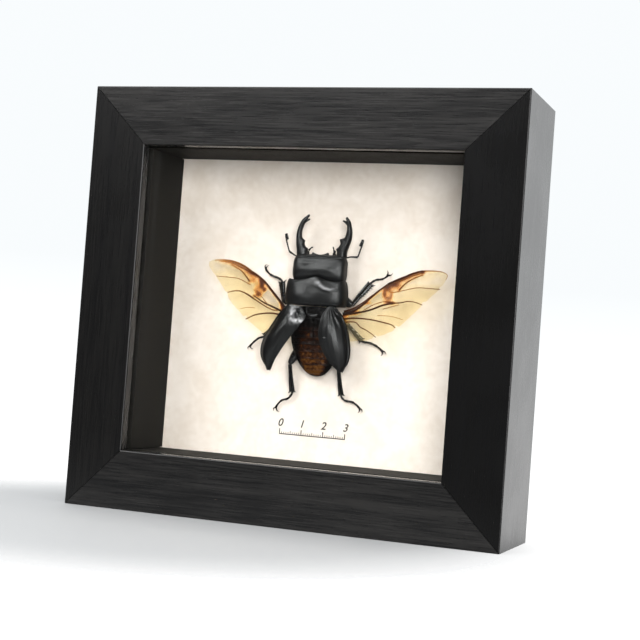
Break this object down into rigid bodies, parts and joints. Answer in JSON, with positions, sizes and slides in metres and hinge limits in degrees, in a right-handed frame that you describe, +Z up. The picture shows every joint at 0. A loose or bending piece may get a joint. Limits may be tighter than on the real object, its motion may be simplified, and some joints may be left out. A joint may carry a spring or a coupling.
{
  "type": "framed stag beetle specimen",
  "caption": "Dried stag beetle with spread amber wings, fixed on cream paper in a deep black glazed box frame that stands or hangs.",
  "frame": {"origin": "on the surface the frame stands on, under the middle of its width and of its whole depth", "axes": "+Z up, -Y out of the glass towards the viewer, +X to the viewer's right"},
  "size_m": [0.19, 0.051, 0.18],
  "materials": {
    "black_wood": "black stained and satin lacquered, fine open grain",
    "glass": "clear, polished",
    "liner": "dark stained, matte",
    "backdrop_paper": "mottled cream fibre paper, matte",
    "mount_board": "matte",
    "hardboard": "pressed hardboard, matte",
    "steel": "zinc plated",
    "beetle_shell": "natural black chitin, satin gloss",
    "beetle_body": "natural black and dark red-brown chitin, satin gloss",
    "wing_membrane": "thin clear amber membrane with brown veins",
    "glue": "set clear glue"
  },
  "bodies": {
    "root": {"rail_top": "black_wood", "rail_bottom": "black_wood", "rail_left": "black_wood", "rail_right": "black_wood", "glass_pane": "glass", "liner_top": "liner", "liner_bottom": "liner", "liner_left": "liner", "liner_right": "liner", "backdrop_paper": "backdrop_paper", "mount_board": "mount_board", "back_panel": "hardboard", "flex_tab_1": "steel", "flex_tab_2": "steel", "flex_tab_3": "steel", "flex_tab_4": "steel", "flex_tab_5": "steel", "flex_tab_6": "steel", "sawtooth_hanger": "steel", "hanger_pin_left": "steel", "hanger_pin_right": "steel", "head": "beetle_shell", "prothorax": "beetle_shell", "hind_body": "beetle_body", "elytron_left": "beetle_shell", "elytron_right": "beetle_shell", "hindwing_left": "wing_membrane", "hindwing_right": "wing_membrane", "glue_pad": "glue"}
  },
  "joints": []
}
